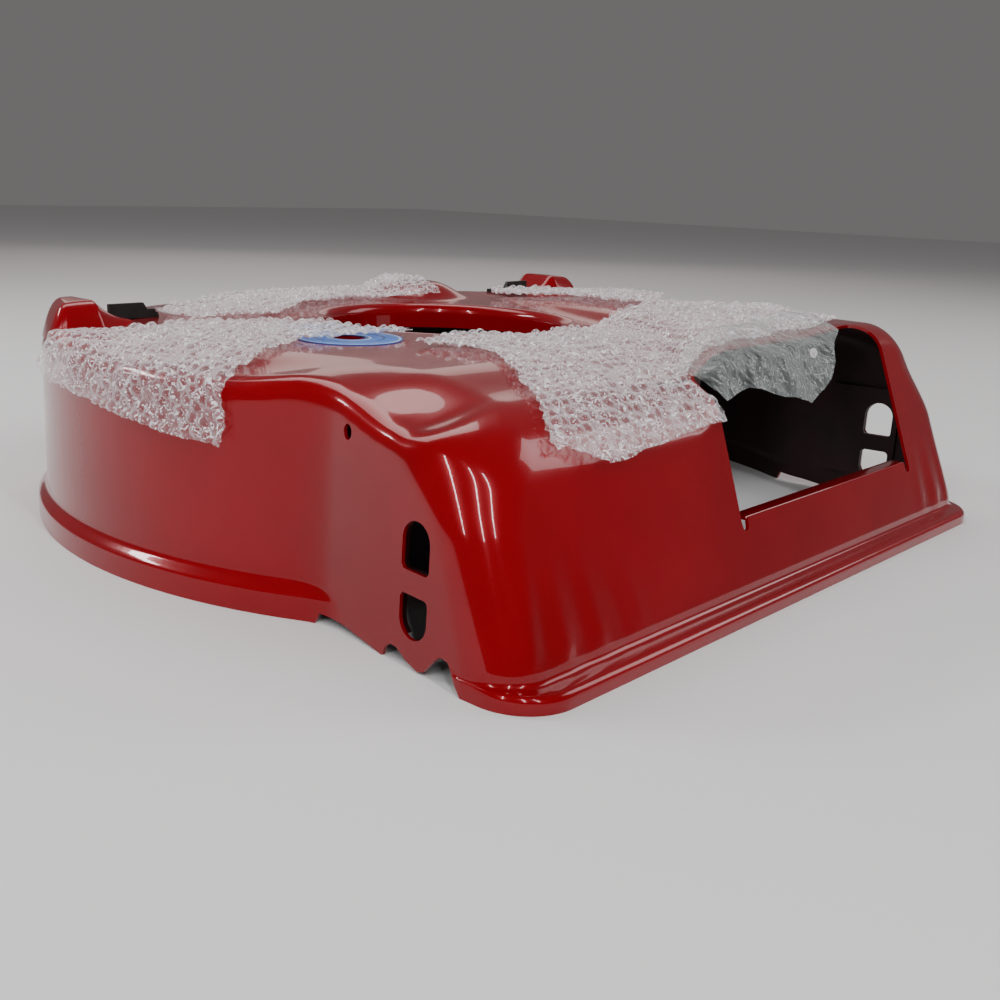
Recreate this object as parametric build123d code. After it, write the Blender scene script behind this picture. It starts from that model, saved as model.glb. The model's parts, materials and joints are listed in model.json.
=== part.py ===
from build123d import *
import math
import os

# Bare cutting deck of a 22 in walk-behind lawn mower, still in its bubble wrap.
# Drawing frame: X to the mower's right, Y forward from the rear flange, Z up from the ground.
# Every piece is written out about the engine mount: origin at the centre of the engine bolts.

# Driving dimensions
SHEET = 2.0
DECK_TOP = 128.0
ENGINE_Y = 298.0
SKIRT_RADIUS = 277.0
SHOULDER_DROP = 8.0
SHOULDER_WIDTH = 58.0
SHOULDER_BEND = 9.0
BEAD_RADIUS = 284.0
BEAD_HEIGHT = 18.0
BEAD_BEND = 6.0

REAR_HALF = 254.0
WAIST_HALF = 239.0
REAR_HALF_Y = 40.0
WAIST_HALF_Y = 172.0
SIDE_DRAFT = 1.2
WALL_FOOT_Y = 11.0
WALL_FOOT_Z = 8.5
WALL_SLOPE = 0.38
REAR_TOP_Z = 121.0
RISE_START_Y = 82.0
RISE_END_Y = 140.0
RISE_BEND = 260.0
SCROLL_START_Y = 155.0
BEAD_START_Y = 151.0
REAR_BEND = 30.0
CORNER_BEND = 30.0
WAIST_BEND = 4.0

TUNNEL_TOP_Z = 136.5
TUNNEL_BEND = 34.0
CROWN_ROUND = 5.0

FLANGE_HALF = 255.0
FLANGE_DEPTH = 40.0
FLANGE_CORNER = 30.0
FLANGE_HEIGHT = 8.5
FLANGE_EDGE = 3.6

OPENING_LEFT = -44.0
OPENING_RIGHT = 179.0
OPENING_SILL = 48.0
OPENING_REACH = 74.0
OPENING_CORNER = 18.0
LIP_WIDTH = 10.0
RELIEF = 6.0

BORE_RADIUS = 87.0
RIM_BEND = 7.0
RIM_DEPTH = 18.0
BOLT_CIRCLE = 203.2
BOLT_RADIUS = 4.5
BOLT_ANGLES = (60.0, 180.0, 300.0)
WASH_X, WASH_Y = -134.0, 252.0
WASH_RADIUS = 9.0
TIE_Y, TIE_Z, TIE_RADIUS = 133.0, 104.0, 4.0

AXLE_Y = 77.0
AXLE_SLOT_RADIUS = 10.0
AXLE_UPPER = (63.0, 48.4)
AXLE_LOWER = (25.2, 36.8)

LUG_TOP_Z = 140.0
LUG_X = (212.0, 243.0)
LUG_Y = (378.0, 426.0)
LUG_ROUND = 8.0

RING_INNER, RING_OUTER, RING_THICK = 94.5, 122.0, 3.0
NUT_FLATS, NUT_HEIGHT, NUT_BORE = 14.0, 7.0, 3.6
BAFFLE_THICK = 2.0
BRACKET_THICK = 3.0
LABEL_RADIUS, LABEL_THICK = 33.0, 0.4
WRAP_GAP, WRAP_THICK = 0.5, 4.5

BOLT_SPOTS = [Pos(0, ENGINE_Y, 0) * Rot(0, 0, a) * Pos(BOLT_CIRCLE / 2, 0, 0) for a in BOLT_ANGLES]


def box(x0, x1, y0, y1, z0, z1):
    """Block between two corners."""
    return Pos((x0 + x1) / 2, (y0 + y1) / 2, (z0 + z1) / 2) * Box(x1 - x0, y1 - y0, z1 - z0)


def across(points, x0, x1):
    """Outline given as (y, z) points, extruded along X from x0 to x1."""
    face = make_face(Polyline(*[(x0, y, z) for y, z in points], close=True))
    return extrude(face, amount=x1 - x0, dir=(1, 0, 0))


def upright(points, z0, z1):
    """Outline given as (x, y) points, extruded along Z from z0 to z1."""
    face = make_face(Polyline(*[(x, y, z0) for x, y in points], close=True))
    return extrude(face, amount=z1 - z0, dir=(0, 0, 1))


def wall_y(z):
    """Outer face of the sloping rear wall at height z."""
    return WALL_FOOT_Y + WALL_SLOPE * (z - WALL_FOOT_Z)


def ridges(prism, points):
    """Edges of a prism along X that run through the given (y, z) points."""
    return [e for e in prism.edges().filter_by(Axis.X)
            if any(math.hypot(e.center().Y - y, e.center().Z - z) < 0.1 for y, z in points)]


def rear_profile(top_points, bend, inset, x0, x1):
    """Side outline of the rear: sloping wall, one large bend, then the top line."""
    slant = inset * math.hypot(1.0, WALL_SLOPE)
    bottom = -1.0 if inset else 0.0
    z_turn = top_points[0][1] - inset
    turn = (wall_y(z_turn) + slant, z_turn)
    rest = [(y, z - inset) for y, z in top_points[1:]]
    outline = [(wall_y(bottom) + slant, bottom), turn] + rest + [(rest[-1][0], bottom)]
    prism = across(outline, x0, x1)
    prism = fillet(ridges(prism, [turn]), bend - inset)
    return fillet(ridges(prism, rest[:-1]), RISE_BEND) if len(rest) > 1 else prism


def rear_box(inset):
    """Rear half of the deck, between the wheels, with its two big corner bends."""
    slope = (REAR_HALF - WAIST_HALF) / (WAIST_HALF_Y - REAR_HALF_Y)
    near = REAR_HALF + slope * (REAR_HALF_Y + 40.0) - inset
    far = REAR_HALF - slope * (ENGINE_Y - REAR_HALF_Y) - inset
    bottom = -1.0 if inset else 0.0
    plan = Polyline((-near, -40, bottom), (near, -40, bottom), (far, ENGINE_Y, bottom),
                    (-far, ENGINE_Y, bottom), close=True)
    block = extrude(make_face(plan), amount=170, dir=(0, 0, 1), taper=SIDE_DRAFT)
    top_line = [(0, REAR_TOP_Z), (RISE_START_Y, REAR_TOP_Z), (RISE_END_Y, DECK_TOP), (ENGINE_Y, DECK_TOP)]
    solid = block & rear_profile(top_line, REAR_BEND, inset, -400, 400)
    side = [e for e in solid.edges() if abs(e.center().X) > 200 and e.center().Z > 5 and e.center().Y < 290]
    return fillet(side, CORNER_BEND - inset)


def scroll(inset):
    """Round blade chamber: drafted skirt, rounded shoulder and the bead around its foot."""
    r = SKIRT_RADIUS - inset
    top = DECK_TOP - inset
    bottom = -1.0 if inset else 0.0
    outline = Polyline((0, 0, bottom), (r + 1.5, 0, bottom), (r, 0, top - SHOULDER_DROP),
                       (r - SHOULDER_WIDTH, 0, top), (0, 0, top), close=True)
    drum = revolve(make_face(outline), Axis.Z)
    shoulder = [e for e in drum.edges() if abs(e.center().Z - top + SHOULDER_DROP) < 0.1]
    drum = fillet(shoulder, SHOULDER_BEND - inset)
    bead = Pos(0, 0, bottom) * Cylinder(BEAD_RADIUS - inset, BEAD_HEIGHT - inset - bottom,
                                        align=(Align.CENTER, Align.CENTER, Align.MIN))
    bead = fillet(bead.edges().sort_by(Axis.Z)[-1], BEAD_BEND - inset)
    reach = BEAD_RADIUS + 1
    drum = Pos(0, ENGINE_Y, 0) * drum & box(-reach, reach, SCROLL_START_Y, ENGINE_Y + reach, -2, 200)
    bead = Pos(0, ENGINE_Y, 0) * bead & box(-reach, reach, BEAD_START_Y, ENGINE_Y + reach, -2, 200)
    return drum + bead


def tunnel(inset):
    """Raised discharge tunnel, from beside the engine to the rear opening."""
    # y, left foot, left crown, right crown, right foot, crown height
    stations = (
        (-10, -112, -94, 198, 214, TUNNEL_TOP_Z),
        (150, 44, 60, 214, 230, TUNNEL_TOP_Z),
        (300, 108, 120, 222, 236, 134),
        (425, 158, 166, 198, 208, 122),
    )
    sections = []
    for y, left, left_top, right_top, right, top in stations:
        crown = top - inset
        left_in, right_in = left_top + 0.7 * inset, right_top - 0.7 * inset
        corners = [(left + inset, y, 60), (left + inset, y, 112), (left_in, y, crown - CROWN_ROUND / 2),
                   (left_in + CROWN_ROUND, y, crown), (right_in - CROWN_ROUND, y, crown),
                   (right_in, y, crown - CROWN_ROUND / 2), (right - inset, y, 112), (right - inset, y, 60)]
        sections.append(make_face(Polyline(*corners, close=True)))
    body = loft(sections, ruled=True)
    top_line = [(0, TUNNEL_TOP_Z), (440, TUNNEL_TOP_Z)]
    return body & rear_profile(top_line, TUNNEL_BEND, inset, -150, 260)


def flange(inset):
    """Turned-out foot flange round the rear, with its rolled edge."""
    half = FLANGE_HALF - inset
    bottom = -1.0 if inset else 0.0
    block = box(-half, half, inset, FLANGE_DEPTH, bottom, FLANGE_HEIGHT - inset)
    corners = [e for e in block.edges().filter_by(Axis.Z) if e.center().Y < inset + 1]
    block = fillet(corners, FLANGE_CORNER - inset)
    rim = [e for e in block.edges() if e.center().Z > FLANGE_HEIGHT - inset - 0.1 and e.center().Y < 39]
    return fillet(rim, max(FLANGE_EDGE - inset, 1.0))


def lug(side, inset):
    """Small raised lug on the front shoulder, side -1 on the left and 1 on the right."""
    x0, x1 = (side * x for x in LUG_X)
    y0, y1 = LUG_Y
    block = box(min(x0, x1) + inset, max(x0, x1) - inset, y0 + inset, y1 - inset, 100, LUG_TOP_Z - inset)
    corners = fillet(block.edges().filter_by(Axis.Z), LUG_ROUND + 3 - inset)
    return fillet(corners.faces().sort_by(Axis.Z)[-1].edges(), LUG_ROUND - inset)


def waist(solid):
    """Soften the upright creases where the round skirt meets the rear box."""
    creases = [e for e in solid.edges() if abs(abs(e.center().X) - WAIST_HALF) < 8
               and abs(e.center().Y - SCROLL_START_Y) < 12 and e.bounding_box().size.Z > 40]
    return fillet(creases, WAIST_BEND)


def body(inset):
    """Whole outside of the deck, moved inwards by inset; a negative inset moves it outwards."""
    main = scroll(inset) + rear_box(inset)
    if inset >= 0:
        main = waist(main)
    return main + tunnel(inset) + flange(inset) + lug(-1, inset) + lug(1, inset)


def d_slot(middle, flat):
    """Cutter for one D-shaped axle slot through both side walls, round end away from its flat."""
    r = AXLE_SLOT_RADIUS
    round_end = Pos(0, AXLE_Y, middle) * Rot(0, 90, 0) * Cylinder(r, 600)
    straight = box(-300, 300, AXLE_Y - r, AXLE_Y + r, min(middle, flat), max(middle, flat))
    corners = [e for e in straight.edges().filter_by(Axis.X) if abs(e.center().Z - flat) < 0.1]
    return round_end + fillet(corners, 3)


def axle_slots():
    """The two D-shaped slots of each rear wheel height bracket."""
    return d_slot(*AXLE_UPPER) + d_slot(*AXLE_LOWER)


def foot_cuts():
    """Shaped lower edge of both side walls, between the waist and the rear flange."""
    lip = [(149, -5), (149, 6), (130, 4.5), (112, 2), (102, 0.5), (101, -5)]
    notch = [(99.5, -5), (97, 5), (93, 8), (88.5, 8), (80, 3.5), (72, 1), (67, 2.5), (61, 10), (56, 14),
             (51, 13.5), (46, 7), (40.5, 1), (40.5, -5)]
    cuts = across(lip, -300, -225) + across(notch, -300, -225)
    return cuts + mirror(cuts, Plane.YZ)


def rear_opening():
    """Discharge opening: through the rear wall and the bend above it."""
    mouth = box(OPENING_LEFT, OPENING_RIGHT, -20, OPENING_REACH, OPENING_SILL, 180)
    corners = [e for e in mouth.edges().filter_by(Axis.Z) if e.center().Y > 0]
    mouth = fillet(corners, OPENING_CORNER)
    for x in (OPENING_LEFT, OPENING_RIGHT - RELIEF):
        mouth += box(x, x + RELIEF, -20, OPENING_REACH / 2, OPENING_SILL - RELIEF, OPENING_SILL + 1)
    return mouth


def sill_lip():
    """Strip folded inwards along the sill of the rear opening."""
    front = wall_y(OPENING_SILL - 1) + 0.3
    return box(OPENING_LEFT + RELIEF, OPENING_RIGHT - RELIEF, front, front + LIP_WIDTH,
               OPENING_SILL - SHEET, OPENING_SILL)


def engine_rim():
    """Rolled-down rim of the engine bore."""
    outer, inner = BORE_RADIUS + RIM_BEND, BORE_RADIUS + SHEET
    hub = DECK_TOP - RIM_BEND
    low = DECK_TOP - RIM_DEPTH
    half = math.sqrt(0.5)
    small = RIM_BEND - SHEET
    line = Polyline((BORE_RADIUS, 0, hub), (BORE_RADIUS, 0, low), (inner, 0, low), (inner, 0, hub))
    under_middle = (outer - small * half, 0, hub + small * half)
    under = ThreePointArc((inner, 0, hub), under_middle, (outer, 0, DECK_TOP - SHEET))
    edge = Line((outer, 0, DECK_TOP - SHEET), (outer, 0, DECK_TOP))
    over_middle = (outer - RIM_BEND * half, 0, hub + RIM_BEND * half)
    over = ThreePointArc((outer, 0, DECK_TOP), over_middle, (BORE_RADIUS, 0, hub))
    section = make_face(Wire(line.edges() + under.edges() + edge.edges() + over.edges()))
    return Pos(0, ENGINE_Y, 0) * revolve(section, Axis.Z)


def drill(radius, spots, z0, z1):
    """Upright holes of one radius at each location."""
    tool = Pos(0, 0, (z0 + z1) / 2) * Cylinder(radius, z1 - z0)
    return [spot * tool for spot in spots]


def deck_shell():
    """Deep-drawn deck with all of its openings."""
    shell = body(0) - body(SHEET)
    centre = Pos(0, ENGINE_Y, 0)
    shell -= drill(BORE_RADIUS + RIM_BEND, [centre], 118, 200)
    shell += engine_rim()
    shell -= drill(BOLT_RADIUS, BOLT_SPOTS, 118, 140)
    shell -= drill(WASH_RADIUS, [Pos(WASH_X, WASH_Y, 0)], 118, 140)
    shell -= axle_slots()
    shell -= Pos(0, TIE_Y, TIE_Z) * Rot(0, 90, 0) * Cylinder(TIE_RADIUS, 600)
    shell -= foot_cuts()
    shell -= rear_opening()
    return shell + sill_lip()


def engine_ring():
    """Flat steel ring welded under the engine mount."""
    top = DECK_TOP - SHEET
    ring = Pos(0, ENGINE_Y, top - RING_THICK / 2) * Cylinder(RING_OUTER, RING_THICK)
    ring -= drill(RING_INNER, [Pos(0, ENGINE_Y, 0)], 100, 140)
    return ring - drill(BOLT_RADIUS, BOLT_SPOTS, 100, 140)


def engine_weld_nuts():
    """One weld nut under each engine bolt hole."""
    top = DECK_TOP - SHEET - RING_THICK
    across_corners = NUT_FLATS / math.sqrt(3)
    nut = extrude(RegularPolygon(across_corners, 6), amount=NUT_HEIGHT)
    nut = Pos(0, 0, top - NUT_HEIGHT) * (nut - Cylinder(NUT_BORE, 4 * NUT_HEIGHT))
    return Compound(children=[spot * nut for spot in BOLT_SPOTS])


def curved_plate(x, y, radius, start, end, z0, z1, thick=BAFFLE_THICK):
    """Upright plate on an arc about (x, y), between two angles in degrees."""
    ring = Pos(x, y, (z0 + z1) / 2) * (Cylinder(radius, z1 - z0) - Cylinder(radius - thick, z1 - z0))
    reach = 2 * radius
    wedge = [(x, y)]
    steps = 4
    for step in range(steps + 1):
        a = math.radians(start + (end - start) * step / steps)
        wedge.append((x + reach * math.cos(a), y + reach * math.sin(a)))
    return ring & upright(wedge, z0 - 1, z1 + 1)


def discharge_baffle(hollow):
    """Curved inner wall that leads the cuttings from the blade chamber to the rear opening."""
    return curved_plate(-66, 196, 128, 278, 352, 30, DECK_TOP) & hollow


def rear_baffle(hollow):
    """Curved plate that closes the blade chamber off from the left rear corner."""
    return curved_plate(0, ENGINE_Y, 236, 205, 257, 14, DECK_TOP) & hollow


def kicker(angle, hollow):
    """Folded strip welded inside the skirt, which lifts the cuttings back into the blade."""
    low, high, reach, span = 62, 92, 34, 34
    skin = SKIRT_RADIUS - SHEET
    outline = [(skin + 4, low - 12), (skin + 4, low + SHEET), (skin - reach, high + SHEET), (skin - reach, high),
               (skin - SHEET, low), (skin - SHEET, low - 12)]
    section = make_face(Polyline(*[(x, 0, z) for x, z in outline], close=True))
    return Pos(0, ENGINE_Y, 0) * Rot(0, 0, angle) * revolve(section, Axis.Z, span) & hollow


def axle_plate(side, hollow):
    """Doubling plate inside one side wall, round the axle slots."""
    x0, x1 = sorted((side * 200, side * 300))
    plate = hollow - body(SHEET + BRACKET_THICK) & box(x0, x1, 63, 112, 16.5, 84)
    return plate - axle_slots()


def front_bracket(side):
    """Black stamped bracket that stands beside the front lug and carries the front axle clip."""
    inner = LUG_X[0] - 0.5
    outline = [(inner, DECK_TOP), (inner, 138), (186, 138), (183, 133.5), (176, 133.5), (174, DECK_TOP)]
    face = make_face(Polyline(*[(side * x, 398, z) for x, z in outline], close=True))
    plate = extrude(face, amount=BRACKET_THICK, dir=(0, 1, 0))
    x0, x1 = sorted((side * 176, side * inner))
    foot = box(x0, x1, 398 + BRACKET_THICK, 414, DECK_TOP, DECK_TOP + BRACKET_THICK)
    return plate + foot - Pos(side * 192, 408, DECK_TOP) * Cylinder(3.2, 20)


def wash_port_label():
    """Round sticker about the washing port."""
    spot = Pos(WASH_X, WASH_Y, DECK_TOP + LABEL_THICK / 2)
    return spot * (Cylinder(LABEL_RADIUS, LABEL_THICK) - Cylinder(WASH_RADIUS + 1, 4))


def wrap_layer():
    """Even layer just outside the deck, from which the bubble wrap pieces are cut."""
    return body(-WRAP_GAP - WRAP_THICK) - body(-WRAP_GAP)


def bubble_wrap_left(layer):
    """Sheet over the left shoulder, hanging down the skirt."""
    plan = [(-300, 392), (-243, 352), (-212, 346), (-180, 341), (-128, 318), (-118, 296), (-171, 248),
            (-222, 212), (-258, 190), (-300, 190)]
    edge = across([(180, 84), (400, 106), (400, 200), (180, 200)], -310, -100)
    return layer & upright(plan, 60, 160) & edge


def bubble_wrap_rear(layer):
    """Sheet over the rear bend and the tunnel, hanging down the rear wall."""
    plan = [(-72, 208), (-30, 188), (24, 190), (64, 206), (132, 214), (180, 190), (190, 150), (150, 78),
            (66, 76), (-46, 74), (-46, 20), (-200, 20), (-190, 52), (-165, 85), (-140, 128), (-112, 180)]
    face = make_face(Polyline((-230, 0, 106), (-183, 0, 101), (-159, 0, 92), (-129, 0, 94), (-92, 0, 96.5),
                              (-46, 0, 99.5), (220, 0, 99.5), (220, 0, 200), (-230, 0, 200), close=True))
    hanging = extrude(face, amount=300, dir=(0, 1, 0))
    return layer & upright(plan, 60, 160) & hanging


def bubble_wrap_front(layer):
    """Sheet over the front of the deck."""
    plan = [(-196, 372), (-150, 424), (-104, 450), (-30, 486), (41, 505), (110, 500), (148, 478), (128, 424),
            (92, 384), (60, 392), (0, 404), (-56, 392), (-110, 352), (-168, 356)]
    return layer & upright(plan, 100, 160)


def bubble_wrap_tunnel(layer):
    """Strip along the top of the discharge tunnel."""
    plan = [(122, 224), (146, 214), (206, 250), (226, 318), (212, 372), (160, 392), (134, 372), (128, 300)]
    return layer & upright(plan, 100, 160)


def film_flap():
    """Loose clear film that hangs over the top of the rear opening."""
    tilt = math.hypot(1.0, WALL_SLOPE)
    gap = (WRAP_GAP + WRAP_THICK + 1.5) * tilt
    corners = [(-60, 0, 128), (-50, 0, 112), (-36, 0, 104), (38, 0, 99), (66, 0, 115), (92, 0, 126), (92, 0, 134),
               (-60, 0, 134)]
    hanging = extrude(make_face(Polyline(*corners, close=True)), amount=200, dir=(0, 1, 0))
    low, high = wall_y(90) - gap, wall_y(140) - gap
    slab = across([(low, 90), (high, 140), (high - 3, 140), (low - 3, 90)], -70, 110)
    return slab & hanging


def write(name, solid):
    """Write one piece in the part's own frame, about the centre of the engine bolts."""
    moved = Pos(0, -ENGINE_Y, -DECK_TOP) * solid
    moved.label = name
    export_step(moved, "parts/" + name + ".step")


if __name__ == "__main__":
    os.makedirs("parts", exist_ok=True)
    hollow = body(SHEET)
    layer = wrap_layer()
    write("deck_shell", deck_shell())
    write("engine_ring", engine_ring())
    write("engine_weld_nuts", engine_weld_nuts())
    write("discharge_baffle", discharge_baffle(hollow))
    write("rear_baffle", rear_baffle(hollow))
    for name, angle in (("kicker_front", 73), ("kicker_left", 140), ("kicker_right", 6)):
        write(name, kicker(angle, hollow))
    for name, side in (("left", -1), ("right", 1)):
        write("axle_plate_" + name, axle_plate(side, hollow))
        write("front_bracket_" + name, front_bracket(side))
    write("wash_port_label", wash_port_label())
    write("bubble_wrap_left", bubble_wrap_left(layer))
    write("bubble_wrap_rear", bubble_wrap_rear(layer))
    write("bubble_wrap_front", bubble_wrap_front(layer))
    write("bubble_wrap_tunnel", bubble_wrap_tunnel(layer))
    write("film_flap", film_flap())
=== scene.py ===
import json
import math

import bpy
import numpy as np
from mathutils import Matrix, Vector


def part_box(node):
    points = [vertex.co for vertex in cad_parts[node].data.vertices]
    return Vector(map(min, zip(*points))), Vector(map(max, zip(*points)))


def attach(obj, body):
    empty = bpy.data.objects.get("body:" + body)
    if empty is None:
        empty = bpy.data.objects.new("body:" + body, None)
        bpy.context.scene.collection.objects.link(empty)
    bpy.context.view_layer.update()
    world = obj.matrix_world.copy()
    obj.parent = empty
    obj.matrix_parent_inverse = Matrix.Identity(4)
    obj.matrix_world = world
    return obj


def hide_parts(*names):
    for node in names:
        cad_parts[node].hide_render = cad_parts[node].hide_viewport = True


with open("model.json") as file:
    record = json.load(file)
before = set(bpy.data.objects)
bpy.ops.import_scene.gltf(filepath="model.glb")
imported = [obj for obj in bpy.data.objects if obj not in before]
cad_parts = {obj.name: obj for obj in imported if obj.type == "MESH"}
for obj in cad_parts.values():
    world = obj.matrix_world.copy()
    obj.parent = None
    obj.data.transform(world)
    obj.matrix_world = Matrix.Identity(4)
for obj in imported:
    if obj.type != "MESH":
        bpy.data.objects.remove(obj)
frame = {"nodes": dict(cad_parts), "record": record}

bpy.context.view_layer.update()

# The deck is drawn in millimetres: X to the right, Y forward from the rear flange, Z up from
# its foot. The frame's origin is at the centre of the engine bolts, and is in metres.
MM = 0.001
ENGINE_Y = 298.0
DECK_TOP = 128.0
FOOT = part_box("deck_shell")[0][2]

# Skin of the deck
SHEET = 2.0
SKIRT_RADIUS = 277.0
BEAD_RADIUS = 284.0
BEAD_TOP = 18.0
SIDE_HALF = 254.0
SIDE_TOE = 0.1136
SIDE_DRAFT = 0.021
WALL_FOOT_Y, WALL_FOOT_Z, WALL_SLOPE = 11.0, 8.5, 0.38
REAR_BEND, TOP_BEND, CORNER_BEND, WAIST_BLEND = 30.0, 10.0, 29.0, 9.0
CORNER_GROWTH, TUNNEL_BEND_LOSS = 22.0, 14.0
REAR_DROP = 7.0
FLANGE_HALF, FLANGE_CORNER = 255.0, 30.0
BORE_RADIUS, RIM_BEND, RIM_DEPTH = 87.0, 7.0, 18.0
BOLT_CIRCLE, BOLT_RADIUS = 101.6, 4.5
BOLT_ANGLES = (60.0, 180.0, 300.0)
WASH_PORT = (-134.0, 252.0, 9.0)
OPENING = (-44.0, 179.0, 48.0, 74.0, 18.0)
RELIEF_DEPTH, RELIEF_RADIUS = 3.5, 3.2
AXLE_Y, SLOT_RADIUS = 77.0, 10.0
SLOTS = ((63.0, 48.4), (25.2, 36.8))
TIE_HOLE = (133.0, 104.0, 4.0)
DIP_DEPTH, HUMP_HEIGHT = 11.0, 11.5
HUMP = (98.0, 430.0)

# The drawn top lies this far below the measured one, so that the labels stay above it
LABEL_SINK = 0.15

# Folds beside each rear corner: side, then (x at the foot, depth) of each one
DRAW_FOLDS = (
    (-1, ((-238, 2.0), (-226, -0.9), (-211, 1.3), (-197, -0.9), (-183, 1.0), (-166, -0.6), (-148, 0.5))),
    (1, ((238, 0.8), (226, -0.8), (212, 1.0), (199, -0.7), (186, 0.6))),
)

# Shaped lower edge of each side wall, as (y, z)
FOOT_EDGE = (
    (40.0, -1.0), (41.0, 1.0), (46.0, 7.0), (51.0, 13.5), (56.0, 14.0), (61.0, 10.0), (67.0, 2.5),
    (72.0, 1.0), (80.0, 3.5), (88.5, 8.0), (93.0, 8.0), (97.0, 5.0), (99.5, -1.0), (101.5, 0.5),
    (112.0, 2.0), (130.0, 4.5), (149.0, 6.0), (152.0, -1.0),
)


def smooth(t):
    """Smooth step from 0 to 1."""
    t = np.clip(t, 0.0, 1.0)
    return t * t * (3.0 - 2.0 * t)


def soft_min(a, b, k):
    """Minimum with a blend of width k, as where two drawn surfaces run together."""
    h = np.clip(0.5 + 0.5 * (b - a) / k, 0.0, 1.0)
    return b + (a - b) * h - k * h * (1.0 - h)


def round_max(a, b, r):
    """Maximum with an outside bend of radius r."""
    a, b = a + r, b + r
    return np.minimum(np.maximum(a, b), 0.0) + np.hypot(np.maximum(a, 0.0), np.maximum(b, 0.0)) - r


def wall_y(z):
    """Where the leaning rear wall stands at a height."""
    return WALL_FOOT_Y + WALL_SLOPE * (z - WALL_FOOT_Z)


def draw_folds(x, z):
    """Shallow upright folds that drawing leaves low on the rear wall beside each corner."""
    height = 0.0
    fade = 0.6 * smooth((68.0 - z) / 50.0) * smooth((z - 9.0) / 14.0)
    for side, places in DRAW_FOLDS:
        for foot_x, depth in places:
            lean = foot_x - side * (abs(foot_x) - 205.0) * 0.45 * smooth(z / 110.0)
            height = height + depth * np.exp(-((x - lean) / 5.2) ** 2) * fade
    return height


def tunnel_top(x, y):
    """Height of the raised discharge tunnel, falling away outside its crown."""
    stations = (-10.0, 150.0, 300.0, 425.0)
    left = np.interp(y, stations, (-94.0, 60.0, 120.0, 166.0))
    right = np.interp(y, stations, (198.0, 212.0, 220.0, 198.0))
    crown = np.interp(y, stations, (136.5, 136.5, 134.0, 121.0))
    out = np.maximum(left - x, x - right)
    out = 0.5 * (out + np.sqrt(out * out + 100.0)) - 1.5
    return crown - 0.8 * out - np.maximum(y - 425.0, 0.0)


def top_height(x, y):
    """Height of the deck's top: level round the engine, lower to the rear and at the shoulder,
    with a dip beside the left rear corner, a low hump at the front and the discharge tunnel."""
    r = np.hypot(x, y - ENGINE_Y)
    front = smooth((y - 150.0) / 70.0)
    level = DECK_TOP - LABEL_SINK - REAR_DROP * smooth((140.0 - y) / 58.0)
    level = level - 9.0 * front * smooth((r - 205.0) / 90.0) ** 1.2
    level = level - 7.0 * smooth((y - 420.0) / 150.0)
    dip = smooth((-x - 184.0) / 56.0) * smooth((y - 56.0) / 40.0) * smooth((182.0 - y) / 76.0)
    hump = smooth((52.0 - np.hypot(x - HUMP[0], y - HUMP[1])) / 34.0)
    level = level - DIP_DEPTH * dip + HUMP_HEIGHT * hump
    return -soft_min(-level, -tunnel_top(x, y), 9.0)


def side_half(y, z):
    """Half the width across the two side walls."""
    return SIDE_HALF - SIDE_TOE * (y - 40.0) - SIDE_DRAFT * z


def deck_distance(p):
    """Signed distance from the outside of the drawn deck, without its rear flange."""
    x, y, z = p[..., 0], p[..., 1], p[..., 2]
    bead = (BEAD_RADIUS - SKIRT_RADIUS - 1.0) * smooth((BEAD_TOP + 1.5 - z) / 7.0)
    circle = np.hypot(x, y - ENGINE_Y) - (SKIRT_RADIUS + 1.5 * (1.0 - z / 120.0) + bead)
    side = np.maximum((np.abs(x) - side_half(y, z)) * 0.99, y - ENGINE_Y)
    outline = soft_min(side, circle, WAIST_BLEND)
    rear = (wall_y(z) - y) / math.hypot(1.0, WALL_SLOPE) - draw_folds(x, z)
    corner_bend = CORNER_BEND + CORNER_GROWTH * smooth((z - 70.0) / 44.0)
    plan = round_max(outline, rear, corner_bend)
    rear_bend = REAR_BEND - TUNNEL_BEND_LOSS * smooth((x - 96.0) / 80.0)
    bend = TOP_BEND + (rear_bend - TOP_BEND) * smooth((rear - outline + 34.0) / 60.0)
    return round_max(plan, z - top_height(x, y), bend)


def cast(start, direction, reach):
    """Distance along each ray from inside the deck to its skin."""
    near, far = np.zeros(start.shape[:-1]), np.full(start.shape[:-1], float(reach))
    for _ in range(26):
        middle = 0.5 * (near + far)
        inside = deck_distance(start + direction * middle[..., None]) < 0.0
        near, far = np.where(inside, middle, near), np.where(inside, far, middle)
    return start + direction * near[..., None]


def columns():
    """Directions of the skin's columns about the engine, closer together where it has detail."""
    spans = ((-25.0, 205.0, 300), (205.0, 232.0, 135), (232.0, 308.0, 230), (308.0, 335.0, 135))
    return np.radians(np.concatenate([np.linspace(a, b, n, endpoint=False) for a, b, n in spans]))


def flange_profile(steps):
    """(offset out of the wall as a share, height) of the rear flange, from the wall to its edge."""
    points = []
    for t in np.linspace(0.0, 1.0, steps):
        if t < 0.3:
            a = math.pi + t / 0.3 * math.pi / 2
            points.append(((3.5 + 3.5 * math.cos(a)) / 11.0, 12.4 + 3.5 * math.sin(a)))
        elif t < 0.45:
            points.append(((3.5 + (t - 0.3) / 0.15 * 3.7) / 11.0, 8.9 - (t - 0.3) * 1.3))
        elif t < 0.8:
            a = math.pi / 2 * (1.0 - (t - 0.45) / 0.35)
            points.append(((7.2 + 3.8 * math.cos(a)) / 11.0, 4.9 + 3.8 * math.sin(a)))
        else:
            points.append((1.0, 4.9 * (1.0 - (t - 0.8) / 0.2)))
    return points


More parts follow.
